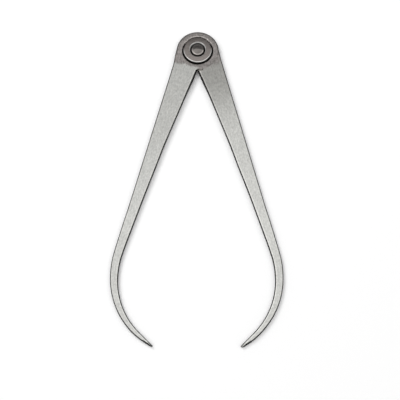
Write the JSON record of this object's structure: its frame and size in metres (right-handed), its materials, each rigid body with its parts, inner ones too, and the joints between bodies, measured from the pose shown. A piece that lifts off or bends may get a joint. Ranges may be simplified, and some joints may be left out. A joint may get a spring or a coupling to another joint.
{
  "type": "firm joint caliper",
  "caption": "Outside caliper with flat bowed steel legs that cross in a halved round head and turn stiffly on a rivet through a washer on each face.",
  "frame": {"origin": "on the pivot axis, at the flat back end of the rivet, which the head rests on", "axes": "+Z along the pivot out of the front face, +Y from the points towards the head, +X towards the right leg as seen from the front"},
  "size_m": [0.0806, 0.1589, 0.0047],
  "materials": {
    "leg_steel": "flat, finely ground along the legs, edges broken",
    "washer_steel": "turned and faced, darker than the legs",
    "rivet_steel": "peened dome, smooth and dull"
  },
  "bodies": {
    "left": {"left_leg": "leg_steel", "pivot_rivet": "rivet_steel", "front_washer": "washer_steel", "back_washer": "washer_steel"},
    "right": {"right_leg": "leg_steel"}
  },
  "joints": [
    {"name": "firm_joint", "type": "hinge", "parent": "left", "child": "right", "pos_m": [0, 0, 0], "axis": [0, 0, 1], "range_deg": [-14.8, 165]}
  ]
}
